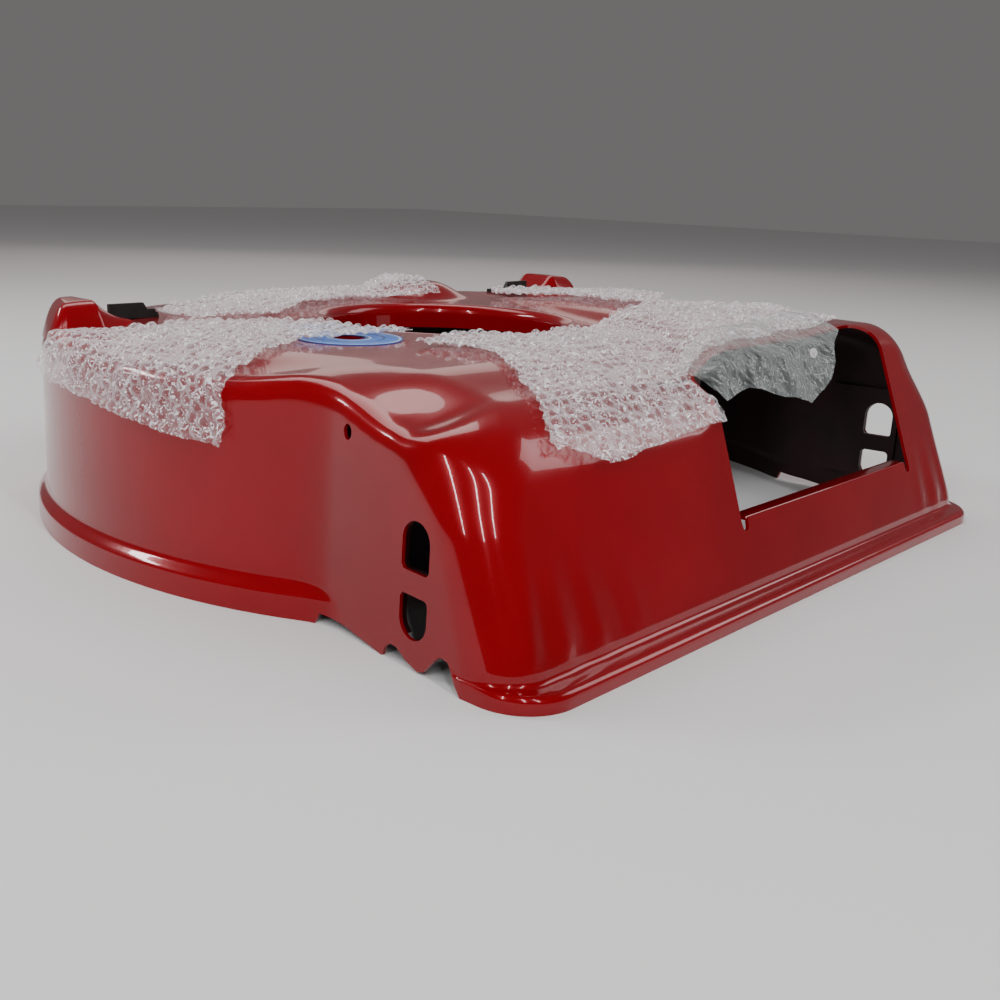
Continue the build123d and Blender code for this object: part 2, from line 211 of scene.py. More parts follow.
def flange_edge(direction):
    """Outer edge of the rear flange along each direction from the engine."""
    near, far = np.zeros(len(direction)), np.full(len(direction), 600.0)
    for _ in range(26):
        middle = 0.5 * (near + far)
        x, y = direction[:, 0] * middle, ENGINE_Y + direction[:, 1] * middle
        inside = round_max(np.abs(x) - FLANGE_HALF, -y, FLANGE_CORNER) < 0.0
        near, far = np.where(inside, middle, near), np.where(inside, far, middle)
    return near


def skin_grid():
    """Rows of points from the foot of the engine rim to the foot of the skirt, by column."""
    angle = columns()
    out = np.stack([np.cos(angle), np.sin(angle)], axis=1)
    n = len(angle)
    rows = []

    def ring(radius, z):
        """Add one level ring of points round the engine."""
        rows.append(np.stack([out[:, 0] * radius, ENGINE_Y + out[:, 1] * radius, np.full(n, z)], axis=1))

    for z in (DECK_TOP - RIM_DEPTH, DECK_TOP - 14.0, DECK_TOP - 10.0):
        ring(BORE_RADIUS, z)
    for a in np.linspace(math.pi, math.pi / 2, 9):
        ring(BORE_RADIUS + RIM_BEND + RIM_BEND * math.cos(a), DECK_TOP - RIM_BEND + RIM_BEND * math.sin(a))

    spine_z = 80.0
    level = np.zeros((n, 3))
    level[:, :2] = out
    start = np.tile([0.0, ENGINE_Y, 110.0], (n, 1))
    edge = np.linalg.norm(cast(start, level, 500.0) - start, axis=1)
    spine = edge - 46.0
    up = np.tile([0.0, 0.0, 1.0], (n, 1))
    for t in np.linspace(0.0, 1.0, 50)[1:]:
        radius = BORE_RADIUS + RIM_BEND + (spine - BORE_RADIUS - RIM_BEND) * (0.35 * t + 0.65 * t * t)
        start = np.stack([out[:, 0] * radius, ENGINE_Y + out[:, 1] * radius, np.full(n, spine_z)], axis=1)
        rows.append(cast(start, up, 100.0))
    start = np.stack([out[:, 0] * spine, ENGINE_Y + out[:, 1] * spine, np.full(n, spine_z)], axis=1)
    for a in np.linspace(math.pi / 2, 0.0, 30)[1:]:
        rows.append(cast(start, level * math.cos(a) + up * math.sin(a), 200.0))
    heights = np.concatenate([np.linspace(spine_z, 24.0, 22)[1:], np.linspace(24.0, 14.0, 8)[1:]])
    for z in heights:
        start[:, 2] = z
        rows.append(cast(start, level, 200.0))

    base = rows[-1].copy()
    base_radius = np.hypot(base[:, 0], base[:, 1] - ENGINE_Y)
    width = np.maximum(flange_edge(out) - base_radius, 0.0)
    turned = smooth((54.0 - base[:, 1]) / 13.0)
    steps = 20
    for t, (share, z_turned) in zip(np.linspace(0.0, 1.0, steps), flange_profile(steps)):
        if t == 0.0:
            continue
        z_plain = 14.0 * (1.0 - t)
        start[:, 2] = z_plain
        plain = cast(start, level, 200.0)
        turned_point = base.copy()
        turned_point[:, 0] += out[:, 0] * width * share
        turned_point[:, 1] += out[:, 1] * width * share
        turned_point[:, 2] = z_turned
        rows.append(plain + (turned_point - plain) * turned[:, None])
    return np.array(rows)


def foot_line(y):
    """Height of the shaped lower edge of the side walls."""
    ys, zs = zip(*FOOT_EDGE)
    return np.interp(y, ys, zs)


def holes(p):
    """Signed distance to the nearest opening in the skin, negative inside it."""
    x, y, z = p[:, 0], p[:, 1], p[:, 2]
    left, right, sill, reach, corner = OPENING
    middle, half = (left + right) / 2, (right - left) / 2
    narrowing = 0.05 * np.maximum(z - sill, 0.0)
    mouth = round_max(np.abs(x - middle) - half + narrowing * 0.6, y - reach, corner)
    found = np.maximum(mouth, sill - z)
    past_relief = np.maximum(z - sill, 0.0) + np.minimum(z - sill + RELIEF_DEPTH, 0.0)
    for edge in (left + 3.0, right - 3.0):
        relief = np.hypot(x - edge, past_relief) - RELIEF_RADIUS
        found = np.minimum(found, np.maximum(relief, y - 60.0))
    for angle in BOLT_ANGLES:
        a = math.radians(angle)
        bolt_x, bolt_y = BOLT_CIRCLE * math.cos(a), BOLT_CIRCLE * math.sin(a)
        bolt = np.hypot(x - bolt_x, y - ENGINE_Y - bolt_y) - BOLT_RADIUS
        found = np.minimum(found, np.maximum(bolt, 120.0 - z))
    port = np.hypot(x - WASH_PORT[0], y - WASH_PORT[1]) - WASH_PORT[2]
    found = np.minimum(found, np.maximum(port, 100.0 - z))
    beside = np.where(np.abs(x) > 200.0, 0.0, 1000.0)
    for centre, flat in SLOTS:
        turn = 1.0 if centre > flat else -1.0
        along = (z - centre) * turn
        cap = np.hypot(y - AXLE_Y, np.maximum(along, 0.0)) - SLOT_RADIUS
        found = np.minimum(found, round_max(cap, (flat - z) * turn, 2.5) + beside)
    tie_y, tie_z, tie_r = TIE_HOLE
    found = np.minimum(found, np.hypot((y - tie_y) * 1.25, z - tie_z) - tie_r + beside)
    lower = np.where((y > 40.0) & (y < 152.0), z - foot_line(y), 1000.0)
    return np.minimum(found, lower + beside)


def clip_faces(points, faces, inside):
    """Cut the faces where inside(points) is negative, with new points on the exact edge."""
    value = inside(points)
    value = np.where(np.abs(value) < 1e-6, 1e-6, value)
    faces = np.asarray(faces)
    signs = value[faces] > 0.0
    whole = faces[signs.all(axis=1)]
    crossing = faces[signs.any(axis=1) & ~signs.all(axis=1)]
    points, made, kept = list(map(tuple, points)), {}, [tuple(f) for f in whole.tolist()]
    pairs = []
    for face in crossing.tolist():
        for a, b in zip(face, face[1:] + face[:1]):
            if (value[a] > 0.0) != (value[b] > 0.0):
                key = (min(a, b), max(a, b))
                if key not in made:
                    made[key] = len(points) + len(pairs)
                    pairs.append(key)
    if pairs:
        ends = np.array(pairs)
        solid = np.array(points)
        a, b = solid[ends[:, 0]], solid[ends[:, 1]]
        low, high = np.zeros(len(pairs)), np.ones(len(pairs))
        positive = value[ends[:, 0]] > 0.0
        for _ in range(12):
            t = 0.5 * (low + high)
            same = (inside(a + (b - a) * t[:, None]) > 0.0) == positive
            low, high = np.where(same, t, low), np.where(same, high, t)
        points.extend(map(tuple, a + (b - a) * (0.5 * (low + high))[:, None]))
    for face in crossing.tolist():
        polygon = []
        for a, b in zip(face, face[1:] + face[:1]):
            if value[a] > 0.0:
                polygon.append(a)
            if (value[a] > 0.0) != (value[b] > 0.0):
                polygon.append(made[(min(a, b), max(a, b))])
        if len(polygon) > 2:
            kept.append(tuple(polygon))
    return np.array(points), kept


def grid_faces(rows, cols, closed):
    """Quads of a grid of points, closed round its columns or open."""
    last = cols if closed else cols - 1
    r, c = np.meshgrid(np.arange(rows - 1), np.arange(last), indexing="ij")
    d = (c + 1) % cols
    quads = np.stack([r * cols + c, (r + 1) * cols + c, (r + 1) * cols + d, r * cols + d], axis=-1)
    return quads.reshape(-1, 4)


def in_frame(points):
    """Points in millimetres on the deck's drawing, as metres in the frame."""
    return (np.asarray(points, float) - (0.0, ENGINE_Y, DECK_TOP)) * MM


def new_object(name, points, faces, material):
    """Mesh object from drawing points, without the points that no face uses."""
    used = np.unique(np.concatenate([np.asarray(f) for f in faces]))
    place = np.full(len(points), -1)
    place[used] = np.arange(len(used))
    mesh = bpy.data.meshes.new(name)
    mesh.from_pydata(in_frame(points[used]).tolist(), [], [tuple(place[list(f)].tolist()) for f in faces])
    mesh.validate()
    mesh.polygons.foreach_set("use_smooth", [True] * len(mesh.polygons))
    mesh.materials.append(material)
    obj = bpy.data.objects.new(name, mesh)
    bpy.context.collection.objects.link(obj)
    return obj


def settle(obj):
    """Apply an object's modifiers."""
    graph = bpy.context.evaluated_depsgraph_get()
    mesh = bpy.data.meshes.new_from_object(obj.evaluated_get(graph))
    obj.modifiers.clear()
    obj.data = mesh


# Materials

def principled(name):
    """New material with its node tree, its shader and a helper that adds a node."""
    material = bpy.data.materials.new(name)
    material.use_nodes = True
    tree = material.node_tree
    shader = next(n for n in tree.nodes if n.type == "BSDF_PRINCIPLED")

    def node(kind, **inputs):
        """Add a node and set the inputs that are named."""
        made = tree.nodes.new(kind)
        for key, value in inputs.items():
            made.inputs[key.replace("_", " ")].default_value = value
        return made

    return material, tree.links, shader, node


def bump(links, shader, node, *layers):
    """Chain of bump nodes, each from (height socket, strength, distance in metres)."""
    normal = None
    for height, strength, distance in layers:
        made = node("ShaderNodeBump", Strength=strength, Distance=distance)
        links.new(height, made.inputs["Height"])
        if normal is not None:
            links.new(normal, made.inputs["Normal"])
        normal = made.outputs["Normal"]
    links.new(normal, shader.inputs["Normal"])


def ramp(node, low, high, *colours):
    """Colour ramp between two places."""
    made = node("ShaderNodeValToRGB")
    made.color_ramp.elements[0].position, made.color_ramp.elements[1].position = low, high
    for element, colour in zip(made.color_ramp.elements, colours):
        element.color = colour
    return made


def deck_paint():
    """Baked red enamel: clear gloss, faint orange peel, slight dust and handling marks."""
    material, links, shader, node = principled("deck_paint")
    place = node("ShaderNodeTexCoord").outputs["Object"]
    cloud = node("ShaderNodeTexNoise", Scale=7.0, Detail=4.0, Roughness=0.6)
    peel = node("ShaderNodeTexNoise", Scale=420.0, Detail=2.0)
    wave = node("ShaderNodeTexNoise", Scale=26.0, Detail=2.0)
    dust = node("ShaderNodeTexNoise", Scale=900.0, Detail=3.0, Roughness=0.7)
    for texture in (cloud, peel, wave, dust):
        links.new(place, texture.inputs["Vector"])
    tone = ramp(node, 0.3, 0.72, (0.20, 0.0001, 0.0035, 1.0), (0.27, 0.0002, 0.006, 1.0))
    links.new(cloud.outputs["Fac"], tone.inputs["Fac"])
    specks = ramp(node, 0.66, 0.8, (0.0, 0.0, 0.0, 1.0), (0.35, 0.35, 0.35, 1.0))
    links.new(dust.outputs["Fac"], specks.inputs["Fac"])
    mix = node("ShaderNodeMix")
    mix.data_type = "RGBA"
    mix.inputs["B"].default_value = (0.30, 0.05, 0.045, 1.0)
    links.new(specks.outputs["Color"], mix.inputs["Factor"])
    links.new(tone.outputs["Color"], mix.inputs["A"])
    links.new(mix.outputs["Result"], shader.inputs["Base Color"])
    gloss = ramp(node, 0.25, 0.8, (0.14, 0.14, 0.14, 1.0), (0.24, 0.24, 0.24, 1.0))
    links.new(cloud.outputs["Fac"], gloss.inputs["Fac"])
    links.new(gloss.outputs["Color"], shader.inputs["Roughness"])
    bump(links, shader, node, (wave.outputs["Fac"], 0.10, 0.002), (peel.outputs["Fac"], 0.06, 0.0004))
    shader.inputs["Specular IOR Level"].default_value = 0.35
    shader.inputs["Specular Tint"].default_value = (1.0, 0.22, 0.24, 1.0)
    shader.inputs["Coat Weight"].default_value = 0.55
    shader.inputs["Coat Roughness"].default_value = 0.025
    return material


def shaded_underside():
    """Dull, almost black red: painted shade for the red-painted inside of the deck, which lies in shadow.
    """
    material, links, shader, node = principled("shaded_underside")
    place = node("ShaderNodeTexCoord").outputs["Object"]
    patch = node("ShaderNodeTexNoise", Scale=30.0, Detail=4.0)
    links.new(place, patch.inputs["Vector"])
    tone = ramp(node, 0.3, 0.7, (0.010, 0.0008, 0.001, 1.0), (0.028, 0.0015, 0.002, 1.0))
    links.new(patch.outputs["Fac"], tone.inputs["Fac"])
    links.new(tone.outputs["Color"], shader.inputs["Base Color"])
    shader.inputs["Roughness"].default_value = 0.5
    bump(links, shader, node, (patch.outputs["Fac"], 0.1, 0.001))
    return material


def black_steel():
    """Satin black stamped steel with a fine dip-coat texture."""
    material, links, shader, node = principled("black_steel")
    place = node("ShaderNodeTexCoord").outputs["Object"]
    grain = node("ShaderNodeTexNoise", Scale=600.0, Detail=3.0)
    patch = node("ShaderNodeTexNoise", Scale=60.0, Detail=3.0)
    links.new(place, grain.inputs["Vector"])
    links.new(place, patch.inputs["Vector"])
    tone = ramp(node, 0.3, 0.7, (0.004, 0.004, 0.004, 1.0), (0.014, 0.013, 0.013, 1.0))
    links.new(patch.outputs["Fac"], tone.inputs["Fac"])
    links.new(tone.outputs["Color"], shader.inputs["Base Color"])
    shader.inputs["Roughness"].default_value = 0.55
    bump(links, shader, node, (grain.outputs["Fac"], 0.2, 0.0003))
    return material


def zinc_steel():
    """Zinc-plated nut steel, slightly clouded."""
    material, links, shader, node = principled("zinc_steel")
    place = node("ShaderNodeTexCoord").outputs["Object"]
    cloud = node("ShaderNodeTexNoise", Scale=180.0, Detail=4.0)
    links.new(place, cloud.inputs["Vector"])
    tone = ramp(node, 0.3, 0.7, (0.42, 0.42, 0.40, 1.0), (0.62, 0.62, 0.60, 1.0))
    links.new(cloud.outputs["Fac"], tone.inputs["Fac"])
    links.new(tone.outputs["Color"], shader.inputs["Base Color"])
    shader.inputs["Metallic"].default_value = 1.0
    shader.inputs["Roughness"].default_value = 0.34
    bump(links, shader, node, (cloud.outputs["Fac"], 0.1, 0.0003))
    return material


LABEL_SPAN = 0.034


def label_print():
    """Blue printed sticker with plain rings about its middle."""
    material, links, shader, node = principled("blue_label")
    low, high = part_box("wash_port_label")
    middle = tuple(-(a + b) / 2 for a, b in zip(low, high))
    place = node("ShaderNodeTexCoord").outputs["Object"]
    move = node("ShaderNodeVectorMath")
    move.operation = "ADD"
    move.inputs[1].default_value = middle
    links.new(place, move.inputs[0])
    split = node("ShaderNodeSeparateXYZ")
    links.new(move.outputs["Vector"], split.inputs["Vector"])
    flat = node("ShaderNodeCombineXYZ")
    links.new(split.outputs["X"], flat.inputs["X"])
    links.new(split.outputs["Y"], flat.inputs["Y"])
    radius = node("ShaderNodeVectorMath")
    radius.operation = "LENGTH"
    links.new(flat.outputs["Vector"], radius.inputs[0])
    scale = node("ShaderNodeMath")
    scale.operation = "MULTIPLY"
    scale.inputs[1].default_value = 1.0 / LABEL_SPAN
    links.new(radius.outputs["Value"], scale.inputs[0])
    rings = node("ShaderNodeValToRGB")
    rings.color_ramp.interpolation = "CONSTANT"
    blue, pale, deep = (0.04, 0.19, 0.62, 1.0), (0.50, 0.62, 0.80, 1.0), (0.012, 0.05, 0.22, 1.0)
    marks = ((0.0, deep), (0.36, pale), (0.41, blue), (0.60, deep), (0.66, blue), (0.90, pale),
             (0.94, blue))
    while len(rings.color_ramp.elements) < len(marks):
        rings.color_ramp.elements.new(0.5)
    for element, (spot, colour) in zip(rings.color_ramp.elements, marks):
        element.position, element.color = spot, colour
    links.new(scale.outputs["Value"], rings.inputs["Fac"])
    links.new(rings.outputs["Color"], shader.inputs["Base Color"])
    shader.inputs["Roughness"].default_value = 0.32
    shader.inputs["Specular IOR Level"].default_value = 0.3
    grain = node("ShaderNodeTexNoise", Scale=300.0, Detail=2.0)
    links.new(place, grain.inputs["Vector"])
    bump(links, shader, node, (grain.outputs["Fac"], 0.08, 0.0003))
    return material


def clear_plastic(name, tint, facing_alpha, edge_alpha, roughness, glint, grain):
    """Thin clear polythene: more of it shows where it is seen edge on, with fine creases and painted
    glints.
    """
    material, links, shader, node = principled(name)
    place = node("ShaderNodeTexCoord").outputs["Object"]
    crease = node("ShaderNodeTexNoise", Scale=grain, Detail=3.0, Roughness=0.6)
    haze = node("ShaderNodeTexNoise", Scale=30.0, Detail=3.0)
    links.new(place, crease.inputs["Vector"])
    links.new(place, haze.inputs["Vector"])
    tone = ramp(node, 0.3, 0.7, tint, tuple(min(1.0, c * 1.12) for c in tint))
    links.new(haze.outputs["Fac"], tone.inputs["Fac"])
    links.new(tone.outputs["Color"], shader.inputs["Base Color"])
    weight = node("ShaderNodeLayerWeight", Blend=0.3)
    cover = node("ShaderNodeMapRange")
    cover.inputs["To Min"].default_value = facing_alpha
    cover.inputs["To Max"].default_value = edge_alpha
    links.new(weight.outputs["Facing"], cover.inputs["Value"])
    # Painted glints: random noise spots turn the pale sheet nearly opaque, as white specks standing in for
    # highlights.
    glint_spots = node("ShaderNodeTexNoise", Scale=330.0, Detail=2.0, Distortion=1.5)
    links.new(place, glint_spots.inputs["Vector"])
    glare = node("ShaderNodeMapRange")
    for key, value in (("From Min", 0.54), ("From Max", 0.62), ("To Min", 0.0), ("To Max", glint)):
        glare.inputs[key].default_value = value
    links.new(glint_spots.outputs["Fac"], glare.inputs["Value"])
    most = node("ShaderNodeMath")
    most.operation = "MAXIMUM"
    links.new(cover.outputs["Result"], most.inputs[0])
    links.new(glare.outputs["Result"], most.inputs[1])
    links.new(most.outputs["Value"], shader.inputs["Alpha"])
    shader.inputs["Roughness"].default_value = roughness
    shader.inputs["Specular IOR Level"].default_value = 0.9
    bump(links, shader, node, (crease.outputs["Fac"], 0.8, 0.5 / grain))
    links.new(shader.inputs["Normal"].links[0].from_socket, weight.inputs["Normal"])
    return material


PAINT = deck_paint()
SHADED_INSIDE = shaded_underside()
FINISHES = {
    "deck_paint": PAINT,
    "black_steel": black_steel(),
    "zinc_steel": zinc_steel(),
    "blue_label": label_print(),
    "bubble_wrap": clear_plastic("bubble_wrap", (0.90, 0.86, 0.90, 1.0), 0.07, 0.95, 0.07, 0.9, 240.0),
    "clear_film": clear_plastic("clear_film", (0.55, 0.60, 0.59, 1.0), 0.04, 0.80, 0.04, 0.10, 42.0),
}
for entry in frame["record"]["subparts"]:
    finished = frame["nodes"][entry["node"]]
    finished.data.materials.clear()
    # Parts inside the deck get the near-black painted shade in place of their red paint.
    hidden = entry["node"].startswith(("kicker", "axle_plate")) or entry["node"].endswith("baffle")
    finished.data.materials.append(SHADED_INSIDE if hidden else FINISHES[entry["material_slot"]])


# Deck

def sill_lip():
    """Points and faces of the strip folded in along the sill of the rear opening."""
    left, right, sill, _, _ = OPENING
    count, rows = 60, []
    front = wall_y(sill) + 0.4
    section = [(front, sill - 2.0), (front, sill - 0.7), (front + 0.7, sill), (front + 9.0, sill - 0.2),
               (front + 10.0, sill - 0.9), (front + 10.0, sill - 1.8), (front + 9.3, sill - 2.1),
               (front, sill - 2.0)]
    for x in np.linspace(left + 6.0, right - 6.0, count):
        rows.append([(x, y, z) for y, z in section])
    points = np.array(rows).reshape(-1, 3)
    faces = [tuple(f) for f in grid_faces(count, len(section), False).tolist()]
    last = (count - 1) * len(section)
    faces.append(tuple(range(len(section) - 1)))
    faces.append(tuple(last + k for k in reversed(range(len(section) - 1))))
    return points, faces


def build_deck():
    """Drawn steel skin of even thickness, with all its openings cut."""
    grid = skin_grid()
    points, faces = clip_faces(grid.reshape(-1, 3), grid_faces(grid.shape[0], grid.shape[1], True), holes)
    deck = new_object("deck_skin", points, faces, PAINT)
    thick = deck.modifiers.new("thickness", "SOLIDIFY")
    thick.thickness = SHEET * MM
    thick.offset = -1.0
    thick.use_quality_normals = True
    # The inner face of the sheet gets the near-black painted shade.
    thick.material_offset = 1
    thick.material_offset_rim = 0
    deck.data.materials.append(SHADED_INSIDE)
    settle(deck)
    deck.data.set_sharp_from_angle(angle=math.radians(48.0))
    lip_points, lip_faces = sill_lip()
    lip = new_object("deck_sill", lip_points, lip_faces, PAINT)
    lip.data.set_sharp_from_angle(angle=math.radians(40.0))
    for piece in (deck, lip):
        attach(piece, "root")
        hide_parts("deck_shell")


def build_lug(name, side):
    """Raised lug on the front shoulder, with a hollow flank that runs down to the deck's top."""
    step = 1.25
    xs, ys = np.arange(180.0, 280.0, step), np.arange(364.0, 436.0, step)
    x, y = np.meshgrid(xs, ys, indexing="ij")
    out = np.hypot(x, y - ENGINE_Y)
    crown = 142.8 - 1.5 * smooth((x - 232.0) / 30.0)
    outer = 24.0 * np.clip((out - 262.0) / 15.0, 0.0, 2.0) ** 2.6
    ends = 24.0 * np.clip((np.abs(y - 400.0) - 12.0) / 17.0, 0.0, 2.0) ** 2.2
    flank = 13.5 * (1.0 - np.clip(1.0 - (230.0 - x) / 32.0, 0.0, 1.0) ** 2.3)
    flank = flank + 10.0 * np.clip((230.0 - x) / 32.0 - 0.8, 0.0, 2.0)
    z = crown - outer - ends - np.where(x < 230.0, flank, 0.0)
    points = np.stack([side * x, y, z], axis=-1).reshape(-1, 3)

    def above(p):
        """Height above the deck's top, from just under it."""
        return p[:, 2] - top_height(p[:, 0], p[:, 1]) + 0.8

    points, faces = clip_faces(points, grid_faces(len(xs), len(ys), False), above)
    if side < 0:
        faces = [tuple(reversed(f)) for f in faces]
    lug = new_object(name, points, faces, PAINT)
    shell = lug.modifiers.new("thickness", "SOLIDIFY")
    shell.thickness = SHEET * MM
    shell.offset = -1.0
    settle(lug)
    lug.data.set_sharp_from_angle(angle=math.radians(50.0))
    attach(lug, "root")


# Bubble wrap and film

STEP = 0.9
BUBBLE_PITCH, BUBBLE_RADIUS, BUBBLE_HEIGHT = 7.4, 3.3, 2.5


def walk(start, direction, steps, gap):
    """Points along the deck's skin from plan points, one column per start, at a small gap."""
    direction = np.array([direction[0], direction[1], 0.0])
    up = np.array([0.0, 0.0, 1.0])
    p = np.column_stack([start, np.full(len(start), 60.0)])
    p = cast(p, np.tile(up, (len(start), 1)), 120.0) + up * gap
    rows, probe = [p.copy()], 0.5
    for _ in range(steps):
        ahead, behind = deck_distance(p + direction * probe), deck_distance(p - direction * probe)
        above, below = deck_distance(p + up * probe), deck_distance(p - up * probe)
        slope_out, slope_up = (ahead - behind) / (2 * probe), (above - below) / (2 * probe)
        size = np.maximum(np.hypot(slope_out, slope_up), 0.2)
        slope_out, slope_up = slope_out / size, slope_up / size
        p = p + STEP * (slope_up[:, None] * direction - slope_out[:, None] * up)
        lift = (gap - deck_distance(p)) / size
        p = p + lift[:, None] * (slope_out[:, None] * direction + slope_up[:, None] * up)
        rows.append(p.copy())
    return np.array(rows)


def surface_normals(grid):
    """Unit normals of a grid of points, away from the deck."""
    across = np.gradient(grid, axis=1)
    along = np.gradient(grid, axis=0)
    normal = np.cross(along, across)
    normal /= np.maximum(np.linalg.norm(normal, axis=-1, keepdims=True), 1e-9)
    towards = grid - (0.0, ENGINE_Y - 60.0, 40.0)
    return normal * np.sign((normal * towards).sum(axis=-1).mean())


def ripple(rng, u, v, wavelength, count):
    """Smooth random waves of about one wavelength, from -1 to 1."""
    total = np.zeros_like(u)
    for _ in range(count):
        a = rng.uniform(0.0, math.tau)
        k = math.tau / (wavelength * rng.uniform(0.7, 1.5))
        total += np.sin((u * math.cos(a) + v * math.sin(a)) * k + rng.uniform(0.0, math.tau))
    return total / math.sqrt(count) / 1.6


def bubbles(rng, u, v):
    """Height of the domed bubbles, close packed, a few of them burst or slack."""
    pitch_v = BUBBLE_PITCH * math.sqrt(3.0) / 2.0
    table = rng.uniform(0.0, 1.0, (257, 263, 3))
    best, height = np.full(u.shape, 1e9), np.zeros(u.shape)
    base_row = np.floor(v / pitch_v).astype(int)
    for row in (base_row, base_row + 1):
        shift = 0.5 * (row % 2)
        column = np.round(u / BUBBLE_PITCH - shift).astype(int)
        chance = table[row % 257, column % 263]
        du = u - (column + shift) * BUBBLE_PITCH - 1.5 * (chance[..., 1] - 0.5)
        dv = v - row * pitch_v - 1.5 * (chance[..., 2] - 0.5)
        q = np.hypot(du, dv) / BUBBLE_RADIUS
        tall = BUBBLE_HEIGHT * np.where(chance[..., 0] < 0.16, 0.15, 0.55 + 0.6 * chance[..., 0])
        tilt = 1.0 + 0.9 * (du * (chance[..., 1] - 0.5) + dv * (chance[..., 2] - 0.5)) / BUBBLE_RADIUS
        dome = tall * tilt * np.clip(1.0 - q ** 2.6, 0.0, 1.0) ** 0.62
        height = np.where(q < best, dome, height)
        best = np.minimum(best, q)
    return height


def polygon_distance(x, y, corners):
    """Signed distance to a polygon's edge, positive inside."""
    best = np.full(x.shape, 1e9)
    inside = np.zeros(x.shape, bool)
    for (ax, ay), (bx, by) in zip(corners, corners[1:] + corners[:1]):
        ex, ey = bx - ax, by - ay
        t = np.clip(((x - ax) * ex + (y - ay) * ey) / (ex * ex + ey * ey), 0.0, 1.0)
        best = np.minimum(best, np.hypot(x - ax - t * ex, y - ay - t * ey))
        crosses = (ay > y) != (by > y)
        inside ^= crosses & (x < ax + (y - ay) / np.where(abs(ey) < 1e-9, 1e-9, ey) * ex)
    return np.where(inside, best, -best)


def build_sheet(name, node, slot, grid, outline, seed, relief, lifted):
    """Sheet laid on the walked grid: crumpled, with its relief, cut to its outline.

    The relief is drawn along the sheet, outline is the distance inside its edge, and lifted is
    the extra height it stands off the deck.
    """
    rng = np.random.default_rng(seed)
    rows, cols = grid.shape[:2]
    v, u = np.meshgrid(np.arange(rows) * STEP, np.arange(cols) * STEP, indexing="ij")
    normal = surface_normals(grid)
    loose = 0.5 + 0.5 * ripple(rng, u, v, 62.0, 5)
    lift = 0.6 + 2.4 * np.clip(loose, 0.0, 1.3) + lifted(grid) + relief(rng, u, v)
    slip = 0.9 * ripple(rng, u, v, 38.0, 4)
    shaped = grid + normal * lift[..., None]
    shaped[..., 0] += slip
    both = np.concatenate([shaped, grid], axis=-1).reshape(-1, 6)
    ragged = 1.1 * ripple(rng, u, v, 26.0, 5).reshape(-1)
    both = np.column_stack([both, ragged])
    points, faces = clip_faces(both, grid_faces(rows, cols, False), lambda p: outline(p[:, 3:6]) + p[:, 6])
    sheet = new_object(name, points[:, :3], faces, FINISHES[slot])
    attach(sheet, "root")
    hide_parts(node)
    inside = outline(grid.reshape(-1, 3)) > 0.0


def wrap_relief(rng, u, v):
    """Bubbles on a crumpled sheet."""
    domes = bubbles(rng, u, v)
    creases = 1.0 - np.abs(ripple(rng, u, v, 30.0, 4))
    return domes + 1.1 * creases + 0.4 * ripple(rng, u, v, 7.0, 5)


def film_relief(rng, u, v):
    """Sharp creases of crumpled film."""
    coarse = 1.0 - np.abs(ripple(rng, u, v, 58.0, 3))
    fine = 1.0 - np.abs(ripple(rng, u, v, 17.0, 3))
    return 4.2 * coarse + 0.9 * fine - 1.5


def hanging(plan, hem_x, hem_z):
    """Outline of a sheet from its plan and the line of its hanging edge, positive inside."""

    def outline(p):
        below = p[:, 2] - np.interp(p[:, 0], hem_x, hem_z)
        return np.minimum(polygon_distance(p[:, 0], p[:, 1], plan), below)

    return outline


def left_wrap():
    """Sheet over the left shoulder, hanging down the skirt."""
    ys = np.arange(176.0, 400.0, STEP)
    start = np.column_stack([np.full(len(ys), -86.0), ys])
    grid = walk(start, (-1.0, 0.0), 292, 0.8)
    plan = [(-330, 392), (-250, 356), (-212, 346), (-180, 341), (-128, 318), (-112, 296), (-104, 270),
            (-91, 238), (-104, 234), (-138, 246), (-180, 244), (-222, 224), (-256, 203), (-330, 203)]

    def outline(p):
        below = p[:, 2] - 84.0 - 0.11 * (p[:, 1] - 180.0)
        return np.minimum(polygon_distance(p[:, 0], p[:, 1], plan), below)

    def lifted(p):
        hem = smooth((106.0 - p[..., 2]) / 26.0)
        shoulder = smooth((p[..., 1] - 296.0) / 70.0) * smooth((-p[..., 0] - 236.0) / 30.0)
        return 3.5 * hem + 6.0 * shoulder

    build_sheet("wrap_left", "bubble_wrap_left", "bubble_wrap", grid, outline, 11, wrap_relief, lifted)


def rear_wrap():
    """Sheet over the rear bend and the tunnel, hanging down the rear wall."""
    xs = np.arange(-214.0, 200.0, STEP)
    start = np.column_stack([xs, np.full(len(xs), 222.0)])
    grid = walk(start, (0.0, -1.0), 254, 0.8)
    plan = [(-127, 203), (-92, 212), (-30, 188), (24, 190), (64, 206), (132, 214), (180, 190),
            (190, 150), (150, 78), (66, 76), (-46, 74), (-46, 0), (-200, 0), (-190, 52), (-165, 85),
            (-136, 122), (-116, 156)]
    hem_x, hem_z = (-230, -183, -159, -129, -92, -46, 220), (106, 101, 92, 94, 96.5, 99.5, 99.5)
    outline = hanging(plan, hem_x, hem_z)

    def lifted(p):
        return 3.0 * smooth((112.0 - p[..., 2]) / 20.0)

    build_sheet("wrap_rear", "bubble_wrap_rear", "bubble_wrap", grid, outline, 23, wrap_relief, lifted)


def flat_wrap(name, node, box, plan, seed):
    """Sheet that lies on the top only."""
    x0, x1, y0, y1 = box
    xs = np.arange(x0, x1, STEP)
    start = np.column_stack([xs, np.full(len(xs), y1)])
    grid = walk(start, (0.0, -1.0), int((y1 - y0) / STEP), 0.8)

    def outline(p):
        return polygon_distance(p[:, 0], p[:, 1], plan)

    def lifted(p):
        return 1.2 * smooth((20.0 - outline(p.reshape(-1, 3)).reshape(p.shape[:-1])) / 18.0)

    build_sheet(name, node, "bubble_wrap", grid, outline, seed, wrap_relief, lifted)


